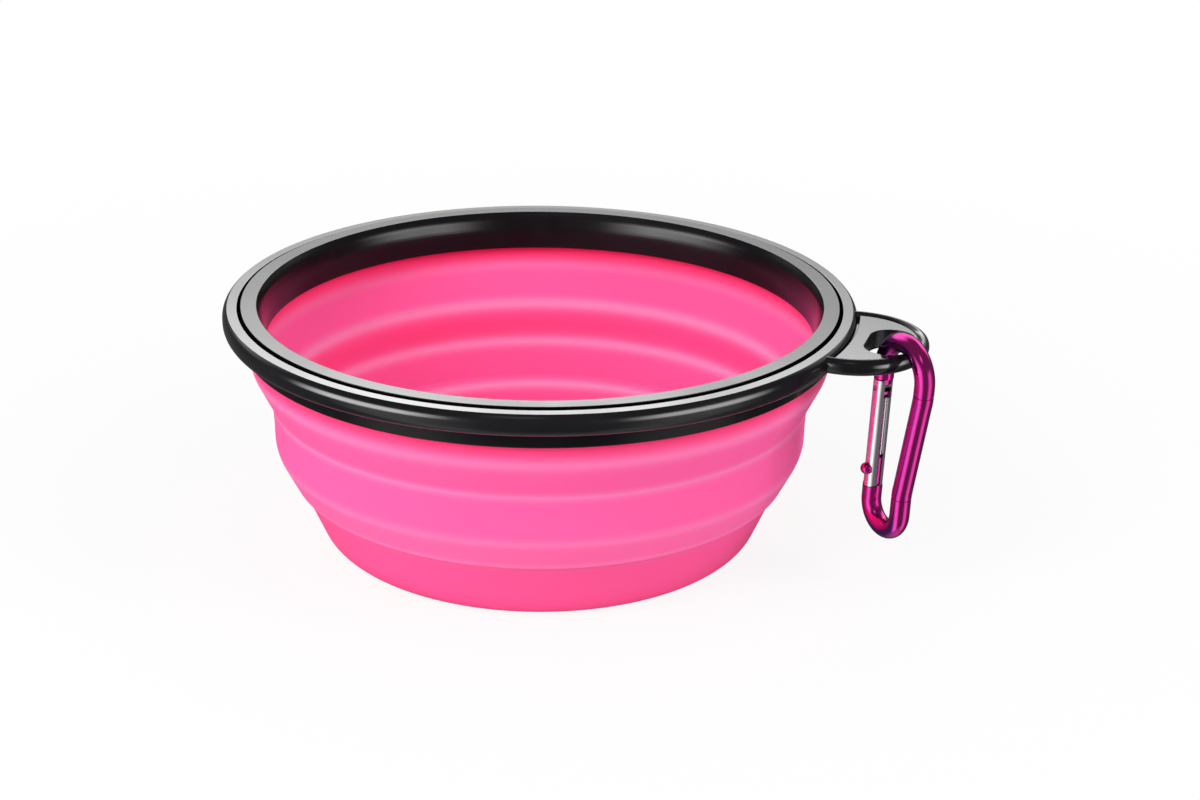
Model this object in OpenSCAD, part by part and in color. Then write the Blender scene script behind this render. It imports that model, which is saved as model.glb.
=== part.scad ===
// Collapsible travel bowl: a silicone bowl that folds flat in two steps,
// a black rim with a hanging lug, and a small spring clip through the lug.
// The bowl stands on z = 0 with its axis on Z, and the lug points along +X.

/* [Rim] */
// Outside diameter of the rim
rim_d = 130; // [126:1:136]
// Height of the opened bowl, floor to rim top
bowl_h = 51; // [50:0.5:54]
// Height of the rounded outer bead below the outer land
bead_h = 4.65; // [4.5:0.05:4.8]
// Drop of the outer land below the inner land
land_drop = 0.35; // [0.3:0.05:0.45]
// Height of the whole rim section
rim_h = 8.3; // [8:0.1:9]

/* [Silicone] */
// Thickness of the bowl's floor
floor_t = 2; // [1.6:0.1:2.4]
// Fillet between the cup's wall and its floor, outside
cup_fillet = 5; // [4:0.5:6]
// Depth below the rim top where the upper fold starts
upper_fold_top = 12; // [11.5:0.1:12.5]
// Depth below the rim top where the upper fold ends
upper_fold_end = 20.7; // [20.5:0.1:21]
// Depth below the rim top where the lower fold starts
lower_fold_top = 28.8; // [28:0.1:29.5]
// Depth below the rim top where the lower fold ends
lower_fold_end = 36.6; // [36.3:0.1:36.9]

/* [Lug] */
// Outside radius of the half round lug
lug_r = 15.2; // [15:0.1:16]
// Radius of the round bead along the lug's edge
lug_bead_r = 1.7; // [1.6:0.05:1.8]
// Length of the slot, across the lug
slot_len = 14.4; // [14.2:0.1:14.8]
// Width of the slot, along the lug
slot_w = 9; // [8.5:0.1:9.2]

/* [Clip] */
// Diameter of the clip's rod
rod_d = 4; // [3.8:0.1:4]
// Diameter of the gate
gate_d = 3.8; // [3.7:0.05:3.9]
// Radius of the rod's axis in the top arc
top_r = 6.5; // [6.4:0.1:6.8]
// Radius of the rod's axis in the bottom bend
bottom_r = 4.8; // [4.7:0.05:5]
// Turn of the clip's plane from the lug's own direction
clip_turn = 44; // [40:1:46]
// Turn from the lug's own direction to where the clip hangs on the lug's bead
hang_turn = 34; // [32:1:36]
// Lean of the hanging clip in its plane
clip_lean = 3; // [2:0.5:4]

/* [Hidden] */
$fn = 96;
fit_gap = 0.05;
rim_r = rim_d / 2;
edge_r = 0.25;

// Rim radii, as insets from the outside
groove_out_r = rim_r - 3;
groove_in_r = rim_r - 3.7;
land_bend = rim_r - 5.7;
mouth_r = rim_r - 7.05;
skirt_r = rim_r - 8.2;
flange_r = rim_r - 3.45;
tongue_r = rim_r - 4;
band_r = rim_r - 3.75;
wall_out_r = rim_r - 4.85;
wall_in_r = rim_r - 6.5;
// Rim depths below its top
groove_d = 1.6;
mouth_d = 0.17;
mouth_edge_r = 0.45;
land_bend_r = 6;
roll_d = 5;
roll_r = 9;
flange_top = 2.2;
flange_end = 3.4;
bead_end = land_drop + bead_h;
land_in = 0.95;
land_edge_r = 0.12;
bead_corner_d = 0.705;
bead_top_r = 2.25;
bead_low_r = 2.1;

// Silicone outside radii, as insets from the rim, and depths
ridge_1 = [rim_r - 5.35, 12.5];
crease_1 = [rim_r - 9.25, 20.5];
waist = [rim_r - 9.55, 25];
ridge_2 = [rim_r - 9.6, 30.2];
crease_2 = [rim_r - 13.1, 37.1];
cup_top_r = rim_r - 14.4;
cup_top_d = 38;
cup_floor_r = rim_r - 20;
// Silicone inside radii and depths
in_ridge_1 = [rim_r - 6.7, 12.3];
in_crease_1 = [rim_r - 10.45, 20.3];
in_waist = [rim_r - 11.4, 24.5];
in_ridge_2 = [rim_r - 11.5, 29.6];
in_crease_2 = [rim_r - 14.5, 37.2];
in_cup_r = rim_r - 16.5;
in_cup_d = 38.9;
in_floor_r = rim_r - 21.8;

// Lug
lug_x = rim_r + 0.2;
lug_bead_x = lug_r - lug_bead_r;
lug_mid_d = 2.2;
lug_face_d = 1.05;
lug_under_d = 3.6;
lug_boss_r = 10.9;
lug_boss_d = 4.9;
slot_x = lug_x + 7.6;
slot_y = -0.6;
lug_root_r = rim_r - 1.8;

// Clip, in its own plane: x from the gate to the spine, z along the gate, rivet at the origin
rod_r = rod_d / 2;
gate_r = gate_d / 2;
bottom_z = -6.5;
spine_low = -2.5;
spine_high = 21;
top_z = 22.6;
bend_r = 10;
spine_out = 2 * (top_r - bottom_r);
spine_h = spine_high - spine_low;
spine_tilt = asin(2 * bend_r / norm([spine_h, 2 * bend_r - spine_out]))
    - atan2(2 * bend_r - spine_out, spine_h);
gate_end_r = 3.9;
gate_top = 19.4;
nose_end = 19.7;
hook_t = 1.3;
hook_slot = 1.5;
tang_t = 0.7;
tang_slot = 0.8;
tang_w = 1.55;
heel_z = 2.6;
heel_r = 2.95;
slot_top = 3.5;
latch_z = 17.6;
latch_r = 0.6;
latch_gap = 0.15;
hook_bottom = 16.3;
gate_slot_bottom = 15.8;
rivet_r = 0.8;
rivet_head_r = 1.2;
rivet_head_y = 2;
rivet_seat_y = 1.5;
rivet_end_y = 1.68;
crimp_depth = 0.14;
crimp_gap = 0.15;
sleeve_step = 0.02;
bore_r = 0.85;
seam_w = 0.4;
seam_d = 0.35;
bore_top = 13.5;
plunger_top = 6;
spring_r = 0.6;
wire_r = 0.15;
spring_turns = 9;

// Where the clip hangs: the rod's inner side rests on the lug's bead, a little to the gate's side
hang_angle = 31;
hang_reach = top_r - rod_r - lug_bead_r - 0.08;
hang_x = top_r - hang_reach * sin(hang_angle);
hang_z = top_z + hang_reach * cos(hang_angle);
pivot = [
    lug_x + lug_bead_x * cos(hang_turn),
    -lug_bead_x * sin(hang_turn),
    bowl_h - lug_mid_d
];

rim_black = [0.07, 0.068, 0.078];
silicone_pink = [0.98, 0.36, 0.62];
clip_magenta = [0.72, 0.08, 0.48];
bright_metal = [0.82, 0.82, 0.84];

// An outline from corners [x, depth, fillet], with each fillet as an arc
function unit(v) = v / norm(v);
function half_turn(a) = a > 180 ? a - 360 : a < -180 ? a + 360 : a;
function fillet_arc(p, q, r, f, steps) =
    let (
        u = unit(p - q),
        w = unit(r - q),
        half = acos(u * w) / 2,
        centre = q + unit(u + w) * f / sin(half),
        a = q + u * f / tan(half) - centre,
        b = q + w * f / tan(half) - centre,
        start = atan2(a.y, a.x),
        turn = half_turn(atan2(b.y, b.x) - start)
    )
    [for (k = [0 : steps]) centre + f * [cos(start + turn * k / steps), sin(start + turn * k / steps)]];
function at_height(c) = [c[0], bowl_h - c[1]];
function rounded(corners, steps = 6) =
    let (n = len(corners))
    [for (i = [0 : n - 1]) each
        let (q = at_height(corners[i]), f = corners[i][2])
        f == 0 ? [q]
            : fillet_arc(at_height(corners[(i + n - 1) % n]), q, at_height(corners[(i + 1) % n]), f, steps)];

// The silicone bowl's whole section, from the flange held in the rim to the floor
module silicone_section() {
    polygon(rounded([
        [wall_in_r + fit_gap, flange_top + fit_gap, 0],
        [flange_r - fit_gap, flange_top + fit_gap, 0],
        [flange_r - fit_gap, flange_end - fit_gap, 0],
        [wall_out_r, flange_end - fit_gap, 0],
        [wall_out_r, rim_h, 0],
        [ridge_1[0], ridge_1[1], 6],
        [crease_1[0], crease_1[1], 0.5],
        [waist[0], waist[1], 12],
        [ridge_2[0], ridge_2[1], 8],
        [crease_2[0], crease_2[1], 0.5],
        [cup_top_r, cup_top_d, 0.7],
        [cup_floor_r, bowl_h, cup_fillet],
        [0, bowl_h, 0],
        [0, bowl_h - floor_t, 0],
        [in_floor_r, bowl_h - floor_t, cup_fillet - 1],
        [in_cup_r, in_cup_d, 1],
        [in_crease_2[0], in_crease_2[1], 0.6],
        [in_ridge_2[0], in_ridge_2[1], 7],
        [in_waist[0], in_waist[1], 10],
        [in_crease_1[0], in_crease_1[1], 0.8],
        [in_ridge_1[0], in_ridge_1[1], 5],
        [wall_in_r + fit_gap, rim_h, 0]
    ]));
}

// The part of the silicone between two depths below the rim top
module silicone_between(from, to) {
    color(silicone_pink)
        rotate_extrude()
            intersection() {
                silicone_section();
                translate([0, bowl_h - to])
                    square([rim_r, to - from]);
            }
}

module silicone_upper_wall() {
    silicone_between(0, upper_fold_top);
}

module silicone_upper_fold() {
    silicone_between(upper_fold_top, upper_fold_end);
}

module silicone_middle_ring() {
    silicone_between(upper_fold_end, lower_fold_top);
}

module silicone_lower_fold() {
    silicone_between(lower_fold_top, lower_fold_end);
}

module silicone_base_cup() {
    silicone_between(lower_fold_end, bowl_h);
}

// Inner ring: the upper land round the mouth, and a skirt that rolls down inside the silicone
module rim_clamp_ring() {
    color(rim_black)
        rotate_extrude()
            polygon(rounded([
                [mouth_r, mouth_d, mouth_edge_r],
                [land_bend, 0, land_bend_r],
                [groove_in_r, 0, edge_r],
                [groove_in_r, flange_top, 0],
                [wall_in_r, flange_top, 0],
                [wall_in_r, rim_h, 0],
                [skirt_r, rim_h, edge_r],
                [skirt_r + 0.3, roll_d, roll_r]
            ]));
}

// Lower ring: a tongue that presses up on the silicone flange, and the plain band below the bead
module rim_retaining_ring() {
    color(rim_black)
        rotate_extrude()
            polygon(rounded([
                [wall_out_r + fit_gap, flange_end, 0],
                [tongue_r - fit_gap, flange_end, 0],
                [tongue_r - fit_gap, bead_end + fit_gap, 0],
                [band_r, bead_end + fit_gap, 0],
                [band_r - 0.1, rim_h, 0.4],
                [wall_out_r + fit_gap, rim_h, 0.15]
            ]));
}

module bead_section() {
    polygon(rounded([
        [groove_out_r, groove_d, 0],
        [groove_out_r, land_drop, edge_r],
        [rim_r - land_in, land_drop, land_edge_r],
        [rim_r, land_drop + bead_corner_d, bead_top_r],
        [rim_r, bead_end, bead_low_r],
        [tongue_r, bead_end, 0],
        [tongue_r, flange_end, 0],
        [flange_r, flange_end, 0],
        [flange_r, groove_d, 0]
    ]));
}

module slot_outline() {
    straight = slot_len - slot_w;
    square([slot_w, straight], center = true);
    for (side = [-1, 1])
        translate([0, side * straight / 2])
            circle(d = slot_w);
}

// Half round lug: a flat web with a slot, thicker underneath, inside a round bead
module lug() {
    difference() {
        union() {
            translate([lug_x, 0, bowl_h - lug_under_d])
                cylinder(r = lug_bead_x, h = lug_under_d - lug_face_d);
            translate([lug_x, 0, bowl_h - lug_boss_d])
                cylinder(r = lug_boss_r, h = lug_boss_d - lug_mid_d);
            translate([lug_x, 0, bowl_h - lug_mid_d])
                rotate([0, 0, -120])
                    rotate_extrude(angle = 240)
                        translate([lug_bead_x, 0])
                            circle(r = lug_bead_r);
        }
        translate([slot_x, slot_y, bowl_h - rim_h])
            linear_extrude(rim_h)
                slot_outline();
        cylinder(r = lug_root_r, h = 2 * bowl_h);
    }
}

// Outer ring: the flat outer land, the rounded bead and the lug in one moulding
module rim_frame() {
    color(rim_black)
        union() {
            rotate_extrude()
                bead_section();
            lug();
        }
}

// Puts clip pieces, drawn round the rivet, where the clip hangs
module hung() {
    translate(pivot)
        rotate([0, 0, -clip_turn])
            rotate([0, clip_lean, 0])
                translate([-hang_x, 0, -hang_z])
                    children();
}

module rod_bend(centre, radius, from, turn) {
    translate([centre[0], 0, centre[1]])
        rotate([90, 0, 0])
            rotate([0, 0, from])
                rotate_extrude(angle = turn)
                    translate([radius, 0])
                        circle(r = rod_r);
}

module rod_bar(from, to) {
    translate([from[0], 0, from[1]])
        rotate([0, atan2(to[0] - from[0], to[1] - from[1]), 0])
            cylinder(r = rod_r, h = norm(to - from));
}

// A cylinder across the clip's plane
module cross_pin(at, radius, length) {
    translate([at[0], 0, at[1]])
        rotate([90, 0, 0])
            cylinder(r = radius, h = length, center = true);
}

// A short round piece between two lengths of rod: thinner, it is the mark that the bending tool leaves
module rod_collar(at, tilt, radius) {
    translate([at[0], 0, at[1]])
        rotate([0, tilt, 0])
            cylinder(r = radius, h = 6 * crimp_gap, center = true);
}

// A flat plate in the clip's plane
module tang(low, high, left, right, thick) {
    translate([left, -thick / 2, low])
        cube([right - left, thick, high - low]);
}

// The lower tang's top: a flat that holds the gate shut, with corners that push the plunger as it opens
module heel() {
    intersection() {
        tang(-rivet_r, heel_z, -tang_w, tang_w, tang_t);
        cross_pin([0, 0], heel_r, rod_d);
    }
}

// The spine's bends, with a short gap at each end that a neck or a sleeve closes
module clip_spine() {
    bend_rise = bend_r * sin(spine_tilt);
    bend_step = bend_r * (1 - cos(spine_tilt));
    low_bend = [2 * bottom_r, spine_low];
    high_bend = [2 * top_r, spine_high];
    low_end = low_bend + [bend_step, bend_rise];
    high_end = high_bend - [bend_step, bend_rise];
    along = crimp_gap * [sin(spine_tilt), cos(spine_tilt)];
    gap_turn = crimp_gap / bend_r * 180 / PI;
    bend_turn = spine_tilt - 2 * gap_turn;
    rod_bar([low_bend[0], bottom_z], low_bend - [0, crimp_gap]);
    rod_bend(low_bend + [bend_r, 0], bend_r, 180 - spine_tilt + gap_turn, bend_turn);
    rod_bar(low_end + along, high_end - along);
    rod_bend(high_bend - [bend_r, 0], bend_r, gap_turn - spine_tilt, bend_turn);
    rod_bar(high_bend + [0, crimp_gap], [high_bend[0], top_z]);
    for (at = [low_bend, high_bend])
        rod_collar(at, 0, rod_r - crimp_depth);
    for (at = [low_end, high_end])
        rod_collar(at, spine_tilt, rod_r + sleeve_step);
}

module clip_rod() {
    difference() {
        rod_bar([0, bottom_z], [0, 0]);
        cross_pin([0, 0], gate_end_r + 0.12, 3 * rod_d);
    }
    rod_bend([bottom_r, bottom_z], bottom_r, 180, 180);
    clip_spine();
    rod_bend([top_r, top_z], top_r, 0, 180);
    rod_bar([0, nose_end], [0, top_z]);
}

// The clip's bent rod, with a flat tang at each end for the gate
module carabiner_frame() {
    color(clip_magenta)
        hung()
            union() {
                clip_rod();
                difference() {
                    union() {
                        tang(-gate_end_r - 1, 0, -tang_w, tang_w, tang_t);
                        heel();
                    }
                    cross_pin([0, 0], rivet_r + fit_gap, rod_d);
                }
                difference() {
                    tang(hook_bottom, nose_end + 1, -tang_w, rod_r - 0.8, hook_t);
                    cross_pin([0, latch_z], latch_r + latch_gap, rod_d);
                    translate([0, -rod_r, latch_z - latch_r - latch_gap])
                        cube([rod_r, rod_d, 2 * (latch_r + latch_gap)]);
                }
            }
}

// Straight gate: slotted at both ends with a seam between, drilled for its spring, pivot and latch pin
module carabiner_gate() {
    color(bright_metal)
        hung()
            difference() {
                intersection() {
                    translate([0, 0, -gate_end_r])
                        cylinder(r = gate_r, h = gate_end_r + gate_top);
                    union() {
                        cross_pin([0, 0], gate_end_r, 2 * gate_d);
                        translate([-gate_d, -gate_d, 0])
                            cube([2 * gate_d, 2 * gate_d, gate_top]);
                    }
                }
                translate([-gate_d, -tang_slot / 2, -2 * gate_end_r])
                    cube([2 * gate_d, tang_slot, slot_top + 2 * gate_end_r]);
                translate([-gate_d, -hook_slot / 2, gate_slot_bottom])
                    cube([2 * gate_d, hook_slot, gate_top]);
                translate([gate_r - seam_d, -seam_w / 2, slot_top - 1])
                    cube([gate_d, seam_w, gate_slot_bottom - slot_top + 2]);
                cylinder(r = bore_r, h = bore_top);
                cross_pin([0, 0], rivet_r + fit_gap, 2 * gate_d);
                cross_pin([0, latch_z], latch_r, 2 * gate_d);
                translate([0, fit_gap - rivet_seat_y - gate_d / 2, 0])
                    cross_pin([0, 0], rivet_head_r + 0.1, gate_d);
            }
}

// Rivet that the gate turns on, with one round head and one flush end
module gate_pivot_rivet() {
    color(clip_magenta)
        hung() {
            translate([0, (rivet_end_y - rivet_head_y) / 2, 0])
                cross_pin([0, 0], rivet_r, rivet_end_y + rivet_head_y);
            difference() {
                translate([0, -rivet_head_y, 0])
                    sphere(r = rivet_head_r);
                cross_pin([0, 0], 2 * rivet_head_r, 2 * rivet_seat_y);
            }
        }
}

// Pin across the gate's top end, which the nose's hook holds
module gate_latch_pin() {
    color(bright_metal)
        hung()
            cross_pin([0, latch_z], latch_r - 0.01, gate_d - 0.3);
}

// Short plunger in the gate's bore, drawn where the heel's corners push it to
module spring_plunger() {
    color(bright_metal)
        hung()
            translate([0, 0, heel_r + fit_gap])
                cylinder(r = bore_r - fit_gap, h = plunger_top - heel_r - fit_gap);
}

// Compression spring behind the plunger: one wire swept along a helix
spring_sides = 6;
rings_per_turn = 8;
spring_rings = spring_turns * rings_per_turn;
spring_low = plunger_top + wire_r + fit_gap;
spring_high = bore_top - wire_r - fit_gap;
spring_pitch = (spring_high - spring_low) / spring_turns;
function wire_point(i, k) =
    let (
        turn = 360 * i / rings_per_turn,
        side = 360 * k / spring_sides,
        reach = spring_r + wire_r * cos(side)
    )
    [reach * cos(turn), reach * sin(turn), spring_low + spring_pitch * i / rings_per_turn + wire_r * sin(side)];
echo(spring_gap = spring_pitch - 2 * wire_r);

module gate_spring() {
    points = [for (i = [0 : spring_rings], k = [0 : spring_sides - 1]) wire_point(i, k)];
    last = spring_rings * spring_sides;
    sides = [
        for (i = [0 : spring_rings - 1], k = [0 : spring_sides - 1])
            let (
                a = i * spring_sides + k,
                b = i * spring_sides + (k + 1) % spring_sides
            )
            each [[a, a + spring_sides, b], [b, a + spring_sides, b + spring_sides]]
    ];
    ends = [
        for (k = [1 : spring_sides - 2])
            each [[0, k, k + 1], [last, last + k + 1, last + k]]
    ];
    color(bright_metal)
        hung()
            polyhedron(points, concat(sides, ends));
}

rim_frame();
rim_clamp_ring();
rim_retaining_ring();
silicone_upper_wall();
silicone_upper_fold();
silicone_middle_ring();
silicone_lower_fold();
silicone_base_cup();
carabiner_frame();
carabiner_gate();
gate_pivot_rivet();
gate_latch_pin();
gate_spring();
spring_plunger();
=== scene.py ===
import math

import bmesh
import bpy
from mathutils import Matrix, Vector


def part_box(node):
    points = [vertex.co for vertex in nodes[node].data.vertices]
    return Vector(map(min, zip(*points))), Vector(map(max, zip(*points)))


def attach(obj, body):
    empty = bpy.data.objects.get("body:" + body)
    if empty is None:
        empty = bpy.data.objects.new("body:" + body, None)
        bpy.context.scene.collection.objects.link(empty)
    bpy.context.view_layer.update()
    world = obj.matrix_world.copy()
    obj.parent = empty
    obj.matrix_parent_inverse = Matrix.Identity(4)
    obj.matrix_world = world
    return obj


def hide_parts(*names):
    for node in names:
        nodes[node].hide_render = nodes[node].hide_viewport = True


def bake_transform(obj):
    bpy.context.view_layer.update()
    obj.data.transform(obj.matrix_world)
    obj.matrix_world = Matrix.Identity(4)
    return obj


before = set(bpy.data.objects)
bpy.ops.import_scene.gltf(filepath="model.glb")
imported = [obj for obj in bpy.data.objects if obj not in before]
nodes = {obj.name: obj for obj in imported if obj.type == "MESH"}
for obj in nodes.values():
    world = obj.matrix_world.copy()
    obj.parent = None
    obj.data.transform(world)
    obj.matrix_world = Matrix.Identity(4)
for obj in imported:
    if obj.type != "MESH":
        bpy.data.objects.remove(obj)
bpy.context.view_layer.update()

mm = 0.001
axisGap = 1e-7    # a point of an outline nearer to the axis than this lies on it
mergeGap = 1e-6   # points nearer to each other than this become one
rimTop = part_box("rim_clamp_ring")[1].z
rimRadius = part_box("rim_frame")[1].y
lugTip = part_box("rim_frame")[1].x
print("frame loaded:", len(nodes), "nodes, rim radius", round(rimRadius, 4))


# Camera, at the photograph's viewing angle
view = {
    "azimuth": 18.8,      # degrees round the bowl, with the lug to the right
    "elevation": 19.24,   # degrees above the rim
    "distance": 0.45,     # metres from the rim's centre
    "lens": 65.4,         # mm
    "sensor": 36,         # mm across
    "nearest": 0.01,      # metres, closer things are cut off
    "aimRight": 0.01226,  # the picture's middle is right of the rim's centre by this much
    "aimDown": 0.02166,   # and below it by this much
    "roll": 0.35,         # degrees
}


def viewAxes():
    turn = math.radians(view["azimuth"])
    rise = math.radians(view["elevation"])
    right = Vector((math.cos(turn), math.sin(turn), 0))
    level = math.cos(rise)
    back = Vector((math.sin(turn) * level, -math.cos(turn) * level, math.sin(rise)))
    return right, back.cross(right), back


def makeCamera():
    right, up, back = viewAxes()
    rimCentre = Vector((0, 0, rimTop))
    position = rimCentre + back * view["distance"]
    aim = rimCentre + right * view["aimRight"] - up * view["aimDown"]
    zAxis = (position - aim).normalized()
    xAxis = up.cross(zAxis).normalized()
    yAxis = zAxis.cross(xAxis)
    turned = Matrix((xAxis, yAxis, zAxis)).transposed().to_4x4()
    data = bpy.data.cameras.new("camera")
    data.lens = view["lens"]
    data.sensor_width = view["sensor"]
    data.sensor_fit = "HORIZONTAL"
    data.clip_start = view["nearest"]
    camera = bpy.data.objects.new("camera", data)
    bpy.context.scene.collection.objects.link(camera)
    roll = Matrix.Rotation(math.radians(view["roll"]), 4, "Z")
    camera.matrix_world = Matrix.Translation(position) @ turned @ roll
    bpy.context.scene.camera = camera


makeCamera()
bpy.context.scene.view_settings.view_transform = "Standard"
print("camera placed")


# Outlines and turned pieces
# a corner is its inset from the rim's outside, its depth below the rim's top and its fillet, in mm
def place(corner):
    return Vector((rimRadius - corner[0] * mm, rimTop - corner[1] * mm))


def fillet(before, corner, after, radius, step=math.radians(5)):
    u = (before - corner).normalized()
    w = (after - corner).normalized()
    half = math.acos(max(-1, min(1, u.dot(w)))) / 2
    centre = corner + (u + w).normalized() * radius / math.sin(half)
    first = corner + u * radius / math.tan(half) - centre
    last = corner + w * radius / math.tan(half) - centre
    start = math.atan2(first.y, first.x)
    turn = (math.atan2(last.y, last.x) - start + math.pi) % (2 * math.pi) - math.pi
    count = max(3, math.ceil(abs(turn) / step))
    angles = [start + turn * k / count for k in range(count + 1)]
    return [centre + radius * Vector((math.cos(a), math.sin(a))) for a in angles]


def outline(corners):
    points = []
    for i, corner in enumerate(corners):
        here = place(corner)
        if corner[2] == 0:
            points.append(here)
        else:
            before = place(corners[i - 1])
            after = place(corners[(i + 1) % len(corners)])
            points += fillet(before, here, after, corner[2] * mm)
    return points


def divided(points, longest, guard=0):
    # a guard point near each end of a straight keeps its shading flat up to the fillet
    out = []
    for a, b in zip(points, points[1:] + points[:1]):
        length = (b - a).length
        count = max(1, math.ceil(length / longest))
        shares = [k / count for k in range(count)]
        if guard and length > 4 * guard:
            shares = sorted([*shares, guard / length, 1 - guard / length])
        out += [a.lerp(b, share) for share in shares]
    return out


def finishMesh(name, build, sharp):
    bmesh.ops.recalc_face_normals(build, faces=build.faces)
    mesh = bpy.data.meshes.new(name)
    build.to_mesh(mesh)
    build.free()
    mesh.shade_smooth()
    mesh.set_sharp_from_angle(angle=math.radians(sharp))
    piece = bpy.data.objects.new(name, mesh)
    bpy.context.scene.collection.objects.link(piece)
    return piece


def turnRing(build, points, turns):
    rings = []
    for p in points:
        if p.x < axisGap:
            rings.append([build.verts.new((0, 0, p.y))])
            continue
        angles = [2 * math.pi * k / turns for k in range(turns)]
        rings.append([build.verts.new((p.x * math.cos(a), p.x * math.sin(a), p.y)) for a in angles])
    for low, high in zip(rings, rings[1:] + rings[:1]):
        if len(low) == 1 and len(high) == 1:
            continue
        for k in range(turns):
            n = (k + 1) % turns
            if len(low) == 1:
                build.faces.new((low[0], high[n], high[k]))
            elif len(high) == 1:
                build.faces.new((low[k], low[n], high[0]))
            else:
                build.faces.new((low[k], low[n], high[n], high[k]))


# Node helpers and the effects that several finishes share
def newMaterial(name):
    material = bpy.data.materials.new(name)
    material.use_nodes = True
    return material, material.node_tree, material.node_tree.nodes["Principled BSDF"]


def addNode(tree, kind, values=None, **settings):
    node = tree.nodes.new(kind)
    for key, value in settings.items():
        setattr(node, key, value)
    for key, value in (values or {}).items():
        node.inputs[key].default_value = value
    return node


def newGroup(name, inputs, outputs):
    group = bpy.data.node_groups.new(name, "ShaderNodeTree")
    for label, kind, value in inputs:
        socket = group.interface.new_socket(label, in_out="INPUT", socket_type=kind)
        socket.default_value = value
    for label, kind in outputs:
        group.interface.new_socket(label, in_out="OUTPUT", socket_type=kind)
    return group, group.nodes.new("NodeGroupInput"), group.nodes.new("NodeGroupOutput")


def useGroup(tree, group, **values):
    node = addNode(tree, "ShaderNodeGroup", node_tree=group)
    for key, value in values.items():
        node.inputs[key].default_value = value
    return node


def makeGrain():
    # fine moulded or blasted surface: a height for bump, and a mask of the same specks
    group, into, out = newGroup(
        "fineGrain",
        [("Scale", "NodeSocketFloat", 900.0), ("Stretch", "NodeSocketVector", (1, 1, 1))],
        [("Height", "NodeSocketFloat"), ("Specks", "NodeSocketFloat")])
    where = addNode(group, "ShaderNodeTexCoord")
    stretched = addNode(group, "ShaderNodeVectorMath", operation="MULTIPLY")
    noise = addNode(group, "ShaderNodeTexNoise", {"Detail": 3.0, "Roughness": 0.6})
    specks = addNode(group, "ShaderNodeMapRange", {"From Min": 0.45, "From Max": 0.75})
    link = group.links.new
    link(where.outputs["Object"], stretched.inputs[0])
    link(into.outputs["Stretch"], stretched.inputs[1])
    link(stretched.outputs[0], noise.inputs["Vector"])
    link(into.outputs["Scale"], noise.inputs["Scale"])
    link(noise.outputs["Fac"], out.inputs["Height"])
    link(noise.outputs["Fac"], specks.inputs["Value"])
    link(specks.outputs["Result"], out.inputs["Specks"])
    return group


def makeHandling():
    # soft cloudy marks of handling, as a roughness between two values and a mask
    group, into, out = newGroup(
        "handlingMarks",
        [("Scale", "NodeSocketFloat", 60.0),
         ("Clean", "NodeSocketFloat", 0.2),
         ("Dull", "NodeSocketFloat", 0.3)],
        [("Roughness", "NodeSocketFloat"), ("Marks", "NodeSocketFloat")])
    where = addNode(group, "ShaderNodeTexCoord")
    cloud = addNode(group, "ShaderNodeTexNoise", {
        "Detail": 5.0, "Roughness": 0.62, "Distortion": 0.6})
    spread = addNode(group, "ShaderNodeMapRange", {"From Min": 0.35, "From Max": 0.7})
    spread.interpolation_type = "SMOOTHSTEP"
    rough = addNode(group, "ShaderNodeMapRange")
    link = group.links.new
    link(where.outputs["Object"], cloud.inputs["Vector"])
    link(into.outputs["Scale"], cloud.inputs["Scale"])
    link(cloud.outputs["Fac"], spread.inputs["Value"])
    link(spread.outputs["Result"], out.inputs["Marks"])
    link(spread.outputs["Result"], rough.inputs["Value"])
    link(into.outputs["Clean"], rough.inputs["To Min"])
    link(into.outputs["Dull"], rough.inputs["To Max"])
    link(rough.outputs["Result"], out.inputs["Roughness"])
    return group


fineGrain = makeGrain()
handlingMarks = makeHandling()


def addBump(tree, shader, grain, strength, distance):
    bump = addNode(tree, "ShaderNodeBump", {"Strength": strength, "Distance": distance})
    tree.links.new(grain.outputs["Height"], bump.inputs["Height"])
    tree.links.new(bump.outputs["Normal"], shader.inputs["Normal"])


def mixColour(tree, factor, first, second):
    mix = addNode(tree, "ShaderNodeMix", data_type="RGBA")
    tree.links.new(factor, mix.inputs["Factor"])
    for socket, value in ((mix.inputs[6], first), (mix.inputs[7], second)):   # the colour sockets
        if isinstance(value, tuple):
            socket.default_value = (*value, 1)
        else:
            tree.links.new(value, socket)
    return mix.outputs[2]


def readMask(tree, name):
    return addNode(tree, "ShaderNodeAttribute", attribute_name=name).outputs["Fac"]


def ramp(tree, value, low, high, first=0.0, last=1.0):
    node = addNode(tree, "ShaderNodeMapRange", {
        "From Min": low, "From Max": high, "To Min": first, "To Max": last})
    tree.links.new(value, node.inputs["Value"])
    return node.outputs["Result"]


def combine(tree, operation, *values):
    total = values[0]
    for value in values[1:]:
        node = addNode(tree, "ShaderNodeMath", operation=operation)
        tree.links.new(total, node.inputs[0])
        tree.links.new(value, node.inputs[1])
        total = node.outputs[0]
    return total


def along(tree, direction, axis):
    node = addNode(tree, "ShaderNodeVectorMath", {1: axis}, operation="DOT_PRODUCT")
    tree.links.new(direction, node.inputs[0])
    return node.outputs["Value"]


# The rim's own lamps light the pieces in the first collection, and those in the second shade them
rimOnly = bpy.data.collections.new("rimOnly")
rimShade = bpy.data.collections.new("rimShade")


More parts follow.
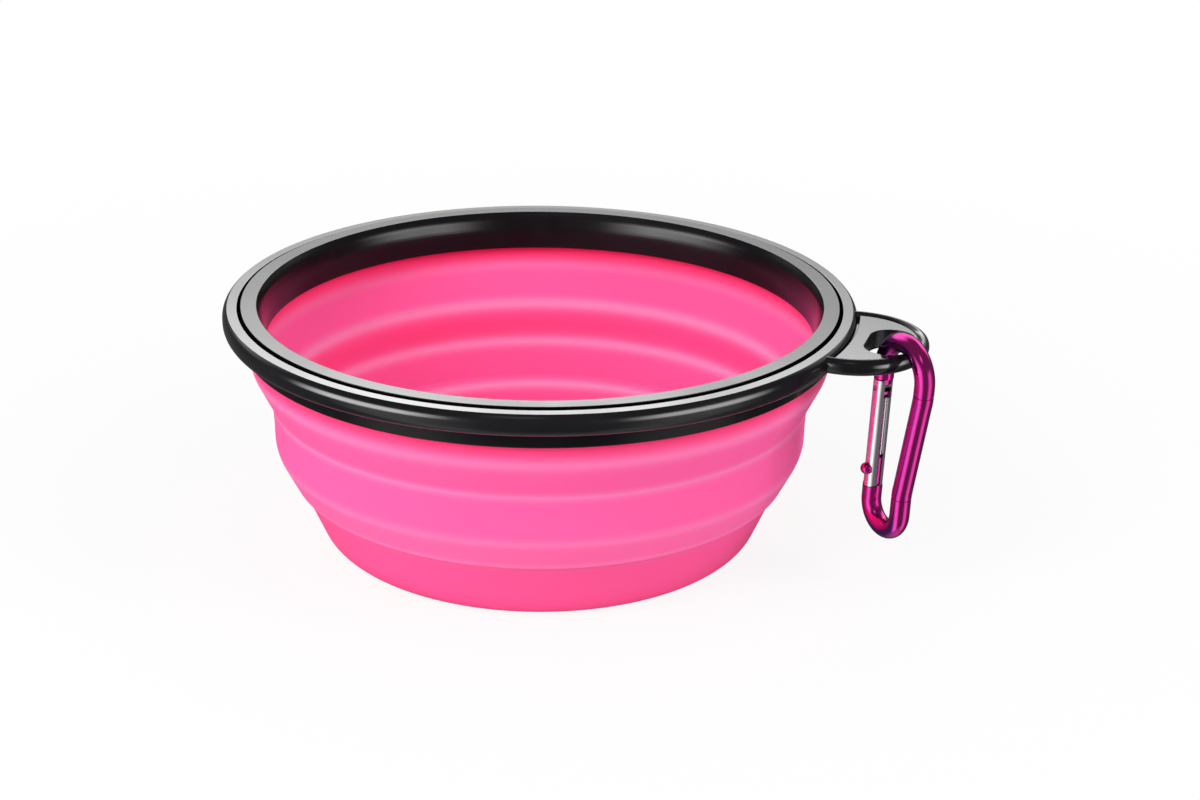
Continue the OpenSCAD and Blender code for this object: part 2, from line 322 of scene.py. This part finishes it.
# Silicone: one section from the flange in the rim to the floor, cut at the upper crease into two pieces
silicone = {
    "section": {
        "flangeIn": (6.45, 2.25, 0),
        "flangeTop": (3.5, 2.25, 0),
        "flangeLow": (3.5, 3.35, 0),
        "wallTop": (4.85, 3.35, 0),
        "wallLow": (4.85, 8.3, 0),
        "ridge1": (5.35, 12.5, 6),
        "crease1": (9.25, 20.5, 0.5),
        "waist": (9.55, 25, 12),
        "ridge2": (9.6, 30.2, 8),
        "crease2": (13.1, 37.1, 0.5),
        "cupTop": (14.4, 38, 0.7),
        "cupFoot": (20, 51, 5),
        "underside": (65, 51, 0),
        "floor": (65, 49, 0),
        "inFoot": (21.8, 49, 4),
        "inCup": (16.5, 38.9, 1),
        "inCrease2": (14.5, 37.2, 0.6),
        "inRidge2": (11.5, 29.6, 7),
        "inWaist": (11.4, 24.5, 10),
        "inCrease1": (10.45, 20.3, 0.8),
        "inRidge1": (6.7, 12.3, 5),
        "inWallLow": (6.45, 8.3, 0),
    },
    "cutDepth": 20.7,    # of the cut below the rim's top
    "rollHeight": 4.4,   # of the stretch above the cut that turns over
    "turns": 224,
    "longestStep": 0.7,
    "sharp": 50,         # degrees, edges above this are crisp
    # where painted light lies, as painted sheen (pale, on the ridges and creases) and painted shade
    # (deep, below the rim, in the inner waist and on the cup): first corner, last corner, shift and soft
    # edge in mm, strength
    "pale": [
        ("ridge1", "ridge1", 0.0, 1.5, 0.48),
        ("crease1", "crease1", 0.0, 0.8, 0.48),
        ("ridge2", "crease2", 0.8, 1.5, 0.16),
        ("ridge2", "ridge2", 0.8, 1.3, 0.4),
        ("crease2", "crease2", -0.4, 0.9, 0.45),
        ("inCup", "inCup", 0.0, 1.1, 1.0),
        ("inRidge2", "inRidge2", 0.0, 1.25, 1.0),
        ("inCrease1", "inCrease1", -0.9, 1.3, 1.0),
        ("inRidge1", "inRidge1", 0.0, 1.3, 0.4),
    ],
    "deep": [
        ("wallTop", "wallLow", 0.0, 2.6, 1.0),
        ("inWallLow", "inWallLow", 0.0, 3.4, 1.0),
        ("cupTop", "cupFoot", 0.0, 1.0, 0.2),
        ("cupFoot", "cupFoot", 0.0, 6.0, 0.4),
        ("inWaist", "inWaist", 0.0, 3.0, 0.4),
    ],
    "midColour": (0.96, 0.11, 0.35),
    # painted sheen colour for the pale bands
    "paintedSheenColour": (0.98, 0.29, 0.555),
    # painted shade colour for the deep bands
    "paintedShadeColour": (0.94, 0.038, 0.165),
    "grainScale": 2600.0,
    "marksScale": 45.0,
    "polish": (0.5, 0.58),            # clean and dull roughness
    "shine": 0.12,
    "glow": 0.2,                      # share of light that goes through the skin
    "glowReach": (1.0, 0.3, 0.45),    # of red, green and blue, in parts of the depth
    "glowDepth": 0.003,               # metres
    "bump": (0.12, 0.0001),           # strength, and height in metres
}


def clipHeight(points, height, above):
    kept = []
    sign = 1 if above else -1
    for a, b in zip(points, points[1:] + points[:1]):
        da = sign * (a.y - height)
        db = sign * (b.y - height)
        if da >= 0:
            kept.append(a)
        if da * db < 0:
            kept.append(a.lerp(b, da / (da - db)))
    return kept


def alongOutline(points):
    lengths = [0.0]
    for a, b in zip(points, points[1:]):
        lengths.append(lengths[-1] + (b - a).length)
    return lengths


def bandStrength(where, spans):
    value = 0.0
    for first, last, soft, strength in spans:
        away = max(first - where, where - last, 0) / soft
        value = max(value, strength * math.exp(-away * away))
    return value


def siliconePiece(name, height, above):
    corners = silicone["section"]
    whole = divided(outline(list(corners.values())), silicone["longestStep"] * mm)
    lengths = alongOutline(whole)

    def lengthAt(point):
        nearest = min(range(len(whole)), key=lambda k: (whole[k] - point).length_squared)
        return lengths[nearest]

    points = clipHeight(whole, height, above)
    build = bmesh.new()
    turnRing(build, points, silicone["turns"])
    piece = finishMesh(name, build, silicone["sharp"])
    ringSizes = [1 if p.x < axisGap else silicone["turns"] for p in points]
    # the pale mask places painted sheen, the deep mask painted shade
    for mask in ("pale", "deep"):
        spans = []
        for first, last, shift, soft, strength in silicone[mask]:
            ends = sorted((lengthAt(place(corners[first])), lengthAt(place(corners[last]))))
            spans.append((ends[0] + shift * mm, ends[1] + shift * mm, soft * mm, strength))
        values = []
        for p, size in zip(points, ringSizes):
            values += [bandStrength(lengthAt(p), spans)] * size
        attribute = piece.data.attributes.new(mask, "FLOAT", "POINT")
        attribute.data.foreach_set("value", values)
    return piece


def siliconeMaterial():
    material, tree, shader = newMaterial("siliconePink")
    clean, dull = silicone["polish"]
    grain = useGroup(tree, fineGrain, Scale=silicone["grainScale"])
    marks = useGroup(tree, handlingMarks, Scale=silicone["marksScale"], Clean=clean, Dull=dull)
    # painted sheen along the ridges and creases
    colour = mixColour(tree, readMask(tree, "pale"), silicone["midColour"], silicone["paintedSheenColour"])
    # painted shade below the rim, in the inner waist and on the cup
    colour = mixColour(tree, readMask(tree, "deep"), colour, silicone["paintedShadeColour"])
    tree.links.new(colour, shader.inputs["Base Color"])
    tree.links.new(marks.outputs["Roughness"], shader.inputs["Roughness"])
    shader.inputs["Specular IOR Level"].default_value = silicone["shine"]
    shader.inputs["Subsurface Weight"].default_value = silicone["glow"]
    shader.inputs["Subsurface Radius"].default_value = silicone["glowReach"]
    shader.inputs["Subsurface Scale"].default_value = silicone["glowDepth"]
    addBump(tree, shader, grain, *silicone["bump"])
    return material


def makeSilicone():
    cut = rimTop - silicone["cutDepth"] * mm
    upper = siliconePiece("bowlUpperWall", cut, True)
    lower = siliconePiece("bowlLowerWall", cut, False)
    pink = siliconeMaterial()
    for piece in (upper, lower):
        piece.data.materials.append(pink)
        rimShade.objects.link(piece)
    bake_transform(upper)
    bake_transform(lower)
    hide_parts("silicone_upper_wall", "silicone_upper_fold")
    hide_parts("silicone_middle_ring", "silicone_lower_fold", "silicone_base_cup")


makeSilicone()
print("silicone made")


# Rim: three mouldings, the outer one with the slotted lug
rim = {
    "turns": 288,
    "frameSection": [
        (3, 1.6, 0),
        (3, 0.35, 0.1),
        (0.95, 0.35, 0.12),
        (0, 1.055, 2.25),
        (0, 5, 2.1),
        (4, 5, 0),
        (4, 3.4, 0),
        (3.45, 3.4, 0),
        (3.45, 1.9, 0),
        (3.72, 1.9, 0),
        (3.72, 1.6, 0),
    ],
    "clampSection": [
        (6.9, 0, 0.15),
        (3.7, 0, 0.1),
        (3.7, 2.2, 0),
        (6.5, 2.2, 0),
        (6.5, 8.3, 0),
        (8.4, 8.3, 0.3),
        (8.25, 4.2, 10),
        (7.65, 1.3, 4),
    ],
    "bandSection": [
        (4.8, 3.4, 0),
        (4.05, 3.4, 0),
        (4.05, 5.05, 0),
        (3.75, 5.05, 0.1),
        (3.85, 8.3, 0.4),
        (4.8, 8.3, 0.15),
    ],
    "longestStep": 1.2,
    "guard": 0.05,
    "sharp": 9.5,
    "black": (0.0055, 0.0053, 0.0065),
    "handled": (0.008, 0.0078, 0.009),
    # painted shade for the groove between the lands
    "paintedGrooveShade": (0.002, 0.002, 0.002),
    "grainScale": 1800.0,
    "marksScale": 38.0,
    "bump": (0.05, 0.00005),            # strength, and height in metres
    "gloss": 0.32,                      # shine of the frame
    "satin": 0.16,                      # and of the other two mouldings
    "polish": (0.13, 0.19),             # clean and dull roughness
    "skirtPolish": (0.18, 0.23),
    # faces with a finish of their own: least and most inset, least and most depth
    "groove": (2.95, 3.76, 0.5, 2.3),   # between the two lands, where little light gets in: painted shade, a flat matt black
    "skirt": (6.96, 9, 0.1, 8.2),       # the clamp ring's inner side
}
lug = {
    "radius": 15.2,        # outside
    "beadWidth": 1.2,      # half the bead's width
    "beadHeight": 1.65,    # half its height
    "beadDepth": 2.25,     # of its middle below the rim's top
    "beadSweep": 101,      # degrees each way, to inside the rim
    "slotOffset": 7.6,
    "slotSide": -0.6,
    "slotLength": 14.4,
    "slotWidth": 9,
    "beadSteps": 96,
    "tubeSteps": 64,
    "rootSteps": 24,
    "slotSteps": 32,       # in each round end
    # plates of the web: top, underside, outer radius, inner edge's inset from the rim,
    # edge rounding and growth of the slot
    "plates": [
        (1.05, 2.2, 13.0, -0.4, 0.2, 0),
        (2.0, 3.6, 13.6, 1.8, 0.1, 0.04),
        (3.3, 4.9, 10.9, 1.8, 0.2, 0.08),
    ],
}


def lugCentre():
    return lugTip - lug["radius"] * mm


def addLugBead(build):
    sweepSteps = lug["beadSteps"]
    tubeSteps = lug["tubeSteps"]
    reach = (lug["radius"] - lug["beadWidth"]) * mm
    level = rimTop - lug["beadDepth"] * mm
    rings = []
    for i in range(sweepSteps + 1):
        a = math.radians(lug["beadSweep"]) * (2 * i / sweepSteps - 1)
        ring = []
        for k in range(tubeSteps):
            t = 2 * math.pi * k / tubeSteps
            r = reach + lug["beadWidth"] * mm * math.cos(t)
            height = level + lug["beadHeight"] * mm * math.sin(t)
            ring.append(build.verts.new((lugCentre() + r * math.cos(a), r * math.sin(a), height)))
        rings.append(ring)
    for a, b in zip(rings, rings[1:]):
        for k in range(tubeSteps):
            n = (k + 1) % tubeSteps
            build.faces.new((a[k], a[n], b[n], b[k]))
    build.faces.new(rings[0])
    build.faces.new(rings[-1])


def webOutline(outer, inset):
    # round outside, and a stretch of circle along the rim
    centre = lugCentre()
    radius = outer * mm
    root = rimRadius - inset * mm
    meetX = (root ** 2 - radius ** 2 + centre ** 2) / (2 * centre)
    meetY = math.sqrt(root ** 2 - meetX ** 2)
    wide = math.atan2(meetY, meetX - centre)
    narrow = math.atan2(meetY, meetX)
    outSteps = lug["beadSteps"]
    inSteps = lug["rootSteps"]
    points = []
    for k in range(outSteps + 1):
        a = wide * (2 * k / outSteps - 1)
        points.append((centre + radius * math.cos(a), radius * math.sin(a)))
    for k in range(1, inSteps):
        a = narrow * (1 - 2 * k / inSteps)
        points.append((root * math.cos(a), root * math.sin(a)))
    return points


def slotOutline(growth):
    middle = lugCentre() + lug["slotOffset"] * mm
    radius = (lug["slotWidth"] / 2 + growth) * mm
    straight = (lug["slotLength"] - lug["slotWidth"]) / 2
    steps = lug["slotSteps"]
    points = []
    for side in (1, -1):
        for k in range(steps + 1):
            a = math.pi * k / steps + (0 if side > 0 else math.pi)
            y = (lug["slotSide"] + side * straight) * mm
            points.append((middle + radius * math.cos(a), y + radius * math.sin(a)))
    return points


def plateOutlines(outer, inset, growth):
    web = webOutline(outer, inset)
    slot = slotOutline(growth)
    centre = lugCentre()
    within = [p for p in slot if math.hypot(p[0] - centre, p[1]) < outer * mm]
    if len(within) == len(slot):
        return web, slot
    # the slot runs out through this plate's round edge, so the two make one outline
    low = math.atan2(within[-1][1], within[-1][0] - centre)
    high = math.atan2(within[0][1], within[0][0] - centre)
    joined = []
    for p in web:
        turn = math.atan2(p[1], p[0] - centre)
        if not low < turn < high:
            joined.append(p)
        elif within:
            joined += within[::-1]
            within = []
    return (joined,)


def addLugPlate(build, top, under, outer, inset, edge, growth):
    # a flat plate with rounded edges, from a filled curve with the slot as its hole
    curve = bpy.data.curves.new("lugPlate", "CURVE")
    curve.dimensions = "2D"
    curve.fill_mode = "BOTH"
    curve.extrude = (under - top) / 2 * mm - edge * mm
    curve.bevel_depth = edge * mm
    curve.bevel_resolution = 3
    curve.offset = -edge * mm
    for points in plateOutlines(outer, inset, growth):
        spline = curve.splines.new("POLY")
        spline.points.add(len(points) - 1)
        for target, (x, y) in zip(spline.points, points):
            target.co = (x, y, 0, 1)
        spline.use_cyclic_u = True
    shape = bpy.data.objects.new("lugPlate", curve)
    bpy.context.scene.collection.objects.link(shape)
    filled = shape.evaluated_get(bpy.context.evaluated_depsgraph_get())
    mesh = bpy.data.meshes.new_from_object(filled)
    mesh.transform(Matrix.Translation((0, 0, rimTop - (top + under) / 2 * mm)))
    build.from_mesh(mesh)
    bpy.data.objects.remove(shape)
    bpy.data.meshes.remove(mesh)


def addLugWeb(build):
    for plate in lug["plates"]:
        addLugPlate(build, *plate)
    bmesh.ops.remove_doubles(build, verts=build.verts, dist=mergeGap)


def rimMaterial(name, gloss, polish):
    material, tree, shader = newMaterial(name)
    clean, dull = polish
    grain = useGroup(tree, fineGrain, Scale=rim["grainScale"])
    marks = useGroup(tree, handlingMarks, Scale=rim["marksScale"], Clean=clean, Dull=dull)
    colour = mixColour(tree, marks.outputs["Marks"], rim["black"], rim["handled"])
    tree.links.new(colour, shader.inputs["Base Color"])
    tree.links.new(marks.outputs["Roughness"], shader.inputs["Roughness"])
    shader.inputs["Specular IOR Level"].default_value = gloss
    addBump(tree, shader, grain, *rim["bump"])
    return material


# painted shade: flat matt black with no shine, for the groove's faces
def paintedGrooveShadeMaterial():
    material, _, shader = newMaterial("rimGroovePaintedShade")
    shader.inputs["Base Color"].default_value = (*rim["paintedGrooveShade"], 1)
    shader.inputs["Roughness"].default_value = 1.0
    shader.inputs["Specular IOR Level"].default_value = 0.0
    return material


def shadeFaces(piece, material, near, far, top, low):
    piece.data.materials.append(material)
    for face in piece.data.polygons:
        inset = (rimRadius - face.center.xy.length) / mm
        depth = (rimTop - face.center.z) / mm
        if near < inset < far and top < depth < low:
            face.material_index = len(piece.data.materials) - 1


def rimPiece(name, section, material, *extra):
    build = bmesh.new()
    points = divided(outline(section), rim["longestStep"] * mm, rim["guard"] * mm)
    turnRing(build, points, rim["turns"])
    for add in extra:
        add(build)
    piece = finishMesh(name, build, rim["sharp"])
    piece.data.materials.append(material)
    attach(piece, "rim")
    return piece


def makeRim():
    glossy = rimMaterial("rimGlossBlack", rim["gloss"], rim["polish"])
    satin = rimMaterial("rimSatinBlack", rim["satin"], rim["polish"])
    skirt = rimMaterial("rimSkirtBlack", rim["satin"], rim["skirtPolish"])
    outer = rimPiece("rimFrameWithLug", rim["frameSection"], glossy, addLugBead, addLugWeb)
    inner = rimPiece("rimClampRing", rim["clampSection"], satin)
    band = rimPiece("rimRetainingBand", rim["bandSection"], satin)
    # the groove's faces get the painted shade
    shade = paintedGrooveShadeMaterial()
    shadeFaces(outer, shade, *rim["groove"])
    shadeFaces(inner, shade, *rim["groove"])
    shadeFaces(inner, skirt, *rim["skirt"])
    for piece in (outer, inner, band):
        rimOnly.objects.link(piece)
        rimShade.objects.link(piece)
    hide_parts("rim_frame")
    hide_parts("rim_clamp_ring")
    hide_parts("rim_retaining_ring")


makeRim()
print("rim made")


# Clip: the CAD pieces keep their shapes and get their finishes
clip = {
    # colour, its darker specks, its painted shade towards the edges, clean and dull roughness, grain's
    # stretch
    "anodised": ((0.92, 0.055, 0.44), (0.84, 0.046, 0.4), (0.16, 0.002, 0.09), 0.12, 0.18, (1, 1, 1)),
    "silver": ((0.95, 0.94, 0.95), (0.8, 0.79, 0.81), (0.3, 0.29, 0.31), 0.18, 0.25, (1, 1, 0.06)),
    "steel": ((0.6, 0.6, 0.61), (0.45, 0.45, 0.46), (0.3, 0.3, 0.3), 0.2, 0.3, (1, 1, 1)),
    "grainScale": 1500.0,
    "marksScale": 160.0,
    "bump": (0.02, 0.00004),           # strength, and height in metres
    "paintedEdgeShadeFade": (0.45, 0.9),
    "paintedBowlReflection": (0.34, 0.05, 0.42),    # painted reflection of the pink bowl on the film's side that faces it
    "bowlWay": (-0.85, 0, -0.53),      # towards the bowl's wall
    "bowlFade": (0.1, 0.6),
}


def metalMaterial(name):
    colour, darker, edge, clean, dull, stretch = clip[name]
    material, tree, shader = newMaterial(name + "Metal")
    grain = useGroup(tree, fineGrain, Scale=clip["grainScale"], Stretch=stretch)
    marks = useGroup(tree, handlingMarks, Scale=clip["marksScale"], Clean=clean, Dull=dull)
    tint = mixColour(tree, grain.outputs["Specks"], colour, darker)
    facing = addNode(tree, "ShaderNodeLayerWeight", {"Blend": 0.5}).outputs["Facing"]
    # painted reflection of the pink bowl on the side of the frame that faces it
    if name == "anodised":
        normal = addNode(tree, "ShaderNodeTexCoord").outputs["Normal"]
        facesBowl = ramp(tree, along(tree, normal, clip["bowlWay"]), *clip["bowlFade"])
        tint = mixColour(tree, facesBowl, tint, clip["paintedBowlReflection"])
    # painted shade: the tint darkens where the surface turns away from view
    tint = mixColour(tree, ramp(tree, facing, *clip["paintedEdgeShadeFade"]), tint, edge)
    tree.links.new(tint, shader.inputs["Base Color"])
    tree.links.new(marks.outputs["Roughness"], shader.inputs["Roughness"])
    shader.inputs["Metallic"].default_value = 1.0
    addBump(tree, shader, grain, *clip["bump"])
    return material


def makeClip():
    anodised = metalMaterial("anodised")
    silver = metalMaterial("silver")
    steel = metalMaterial("steel")
    finishes = {
        "carabiner_frame": anodised,
        "gate_pivot_rivet": anodised,
        "carabiner_gate": silver,
        "gate_latch_pin": steel,
        "gate_spring": steel,
        "spring_plunger": steel,
    }
    for name, material in finishes.items():
        mesh = nodes[name].data
        mesh.materials.clear()
        mesh.materials.append(material)


makeClip()
print("clip finished")


# Floor, backdrop light and lamps
studio = {
    "floorSize": 6.0,
    "floorColour": (0.8, 0.8, 0.8),
    "shadowKept": 0.12,           # how much of the floor's own shading the picture keeps near the bowl
    "shadowFade": (0.06, 0.32),   # metres from the bowl's axis, out to where the floor is plain white
    "fill": 0.58,                 # the room's light on matt surfaces
    # the room as gloss sees it: dark, with softboxes and a pale table
    "dark": 0.13,
    "tableLevel": 0.5,
    "tableEdge": (-75, -52),      # degrees above the horizon, where the table goes over to the dark
}
softboxes = [
    # level, then where it starts, is full and ends:
    # degrees to the right from straight behind, and degrees of height
    (1.2, (-70, -50, 50, 70), (10, 18, 40, 60)),
    (1.1, (-160, -134, -118, -100), (-70, -60, 12, 26)),
    (0.75, (96, 114, 136, 154), (-70, -60, 12, 26)),
    (1.1, (-182, -181, -168, -152), (40, 48, 56, 64)),
]
lamps = [
    # name, degrees from the camera, elevation, distance, width, height, watts
    ("leftSoftbox", -48, 34, 0.9, 0.4, 0.7, 6.5),
    ("rightSoftbox", 66, 30, 0.9, 0.3, 0.6, 3.2),
]
rimLamps = [
    # the same with a level in place of watts, then where the light starts, is full and ends,
    # across and upwards, and the share of it below the start
    ("rimBoxLeft", -60, 2, 0.9, 1.1, 0.62, 16, (0, 0.3, 0.7, 1), (0, 0.25, 0.7, 1), 0),
    ("rimBoxRight", 55, 2, 0.9, 1.0, 0.62, 11.5, (0, 0.3, 0.7, 1), (0, 0.25, 0.7, 1), 0),
    ("rimPanel", 180, 20.3, 1.07, 1.4, 0.3, 8.6, (0.1, 0.48, 0.9, 1), (0.45, 0.75, 0.9, 1), 0.12),
]


def towardsCamera():
    back = viewAxes()[2]
    return Vector((back.x, back.y, 0)).normalized()


def makeFloor():
    half = studio["floorSize"] / 2
    mesh = bpy.data.meshes.new("floor")
    corners = [(-half, -half, 0), (half, -half, 0), (half, half, 0), (-half, half, 0)]
    mesh.from_pydata(corners, [], [(0, 1, 2, 3)])
    floor = bpy.data.objects.new("floor", mesh)
    bpy.context.scene.collection.objects.link(floor)
    floor.visible_glossy = False
    floor.visible_transmission = False
    material = bpy.data.materials.new("paleFloor")
    material.use_nodes = True
    tree = material.node_tree
    tree.nodes.clear()
    link = tree.links.new
    # the camera sees white, with a little of the floor's shading near the bowl
    matt = addNode(tree, "ShaderNodeBsdfDiffuse", {"Color": (*studio["floorColour"], 1)})
    white = addNode(tree, "ShaderNodeEmission", {"Strength": 1.0})
    path = addNode(tree, "ShaderNodeLightPath")
    where = addNode(tree, "ShaderNodeTexCoord")
    away = addNode(tree, "ShaderNodeVectorMath", operation="LENGTH")
    both = addNode(tree, "ShaderNodeMixShader")
    out = addNode(tree, "ShaderNodeOutputMaterial")
    link(where.outputs["Object"], away.inputs[0])
    plain = ramp(tree, away.outputs["Value"], *studio["shadowFade"], 1 - studio["shadowKept"], 1.0)
    seen = combine(tree, "MULTIPLY", plain, path.outputs["Is Camera Ray"])
    link(seen, both.inputs["Fac"])
    link(matt.outputs[0], both.inputs[1])
    link(white.outputs[0], both.inputs[2])
    link(both.outputs[0], out.inputs["Surface"])
    mesh.materials.append(material)


def inDegrees(tree, operation, *values):
    angle = addNode(tree, "ShaderNodeMath", operation=operation)
    for socket, value in zip(angle.inputs, values):
        tree.links.new(value, socket)
    degrees = addNode(tree, "ShaderNodeMath", operation="DEGREES")
    tree.links.new(angle.outputs[0], degrees.inputs[0])
    return degrees.outputs[0]


def softbox(tree, turn, height, level, across, upright, foot=0.0):
    return combine(
        tree, "MULTIPLY",
        ramp(tree, turn, *across[:2], 0.0, level),
        ramp(tree, turn, *across[2:], 1.0, 0.0),
        ramp(tree, height, *upright[:2], foot, 1.0),
        ramp(tree, height, *upright[2:], 1.0, 0.0))


def glossRoom(tree):
    # how bright the room is in a direction, from its turn and its height
    right = viewAxes()[0]
    where = addNode(tree, "ShaderNodeTexCoord").outputs["Generated"]
    turn = inDegrees(tree, "ARCTAN2", along(tree, where, right), along(tree, where, -towardsCamera()))
    height = inDegrees(tree, "ARCSINE", along(tree, where, (0, 0, 1)))
    table = ramp(tree, height, *studio["tableEdge"], studio["tableLevel"], studio["dark"])
    boxes = [softbox(tree, turn, height, *box) for box in softboxes]
    return combine(tree, "ADD", table, *boxes)


def makeWorld():
    world = bpy.data.worlds.new("studio")
    bpy.context.scene.world = world
    world.use_nodes = True
    tree = world.node_tree
    tree.nodes.clear()
    link = tree.links.new
    path = addNode(tree, "ShaderNodeLightPath")
    shiny = combine(tree, "MAXIMUM", path.outputs["Is Glossy Ray"], path.outputs["Is Transmission Ray"])
    level = addNode(tree, "ShaderNodeMix", {"A": studio["fill"]}, data_type="FLOAT")
    light = addNode(tree, "ShaderNodeBackground", {"Color": (1, 1, 1, 1)})
    out = addNode(tree, "ShaderNodeOutputWorld")
    link(shiny, level.inputs["Factor"])
    link(glossRoom(tree), level.inputs["B"])
    strength = combine(tree, "MAXIMUM", level.outputs["Result"], path.outputs["Is Camera Ray"])
    link(strength, light.inputs["Strength"])
    link(light.outputs[0], out.inputs["Surface"])


def addLamp(name, side, rise, distance, width, height, watts):
    turn = math.radians(view["azimuth"] - 90 + side)
    tilt = math.radians(rise)
    level = math.cos(tilt)
    away = Vector((math.cos(turn) * level, math.sin(turn) * level, math.sin(tilt)))
    data = bpy.data.lights.new(name, "AREA")
    data.shape = "RECTANGLE"
    data.size = width
    data.size_y = height
    data.energy = watts
    lamp = bpy.data.objects.new(name, data)
    bpy.context.scene.collection.objects.link(lamp)
    lamp.location = Vector((0, 0, rimTop)) + away * distance
    lamp.rotation_euler = away.to_track_quat("Z", "Y").to_euler()
    lamp.visible_camera = False
    return lamp


def makeLamps():
    for settings in lamps:
        addLamp(*settings).visible_glossy = False   # gloss sees the room's softboxes instead


def makeRimLamps():
    # lamps with soft edges that only the rim's gloss shows
    for name, side, rise, distance, width, height, level, across, upright, foot in rimLamps:
        lamp = addLamp(name, side, rise, distance, width, height, math.pi * width * height)
        lamp.visible_diffuse = False
        lamp.light_linking.receiver_collection = rimOnly
        lamp.light_linking.blocker_collection = rimShade
        lamp.data.use_nodes = True
        tree = lamp.data.node_tree
        where = addNode(tree, "ShaderNodeNewGeometry")
        parts = addNode(tree, "ShaderNodeSeparateXYZ")
        tree.links.new(where.outputs["Parametric"], parts.inputs[0])
        strength = softbox(tree, parts.outputs["X"], parts.outputs["Y"], level, across, upright, foot)
        tree.links.new(strength, tree.nodes["Emission"].inputs["Strength"])


makeFloor()
makeWorld()
makeLamps()
makeRimLamps()
print("studio lit")
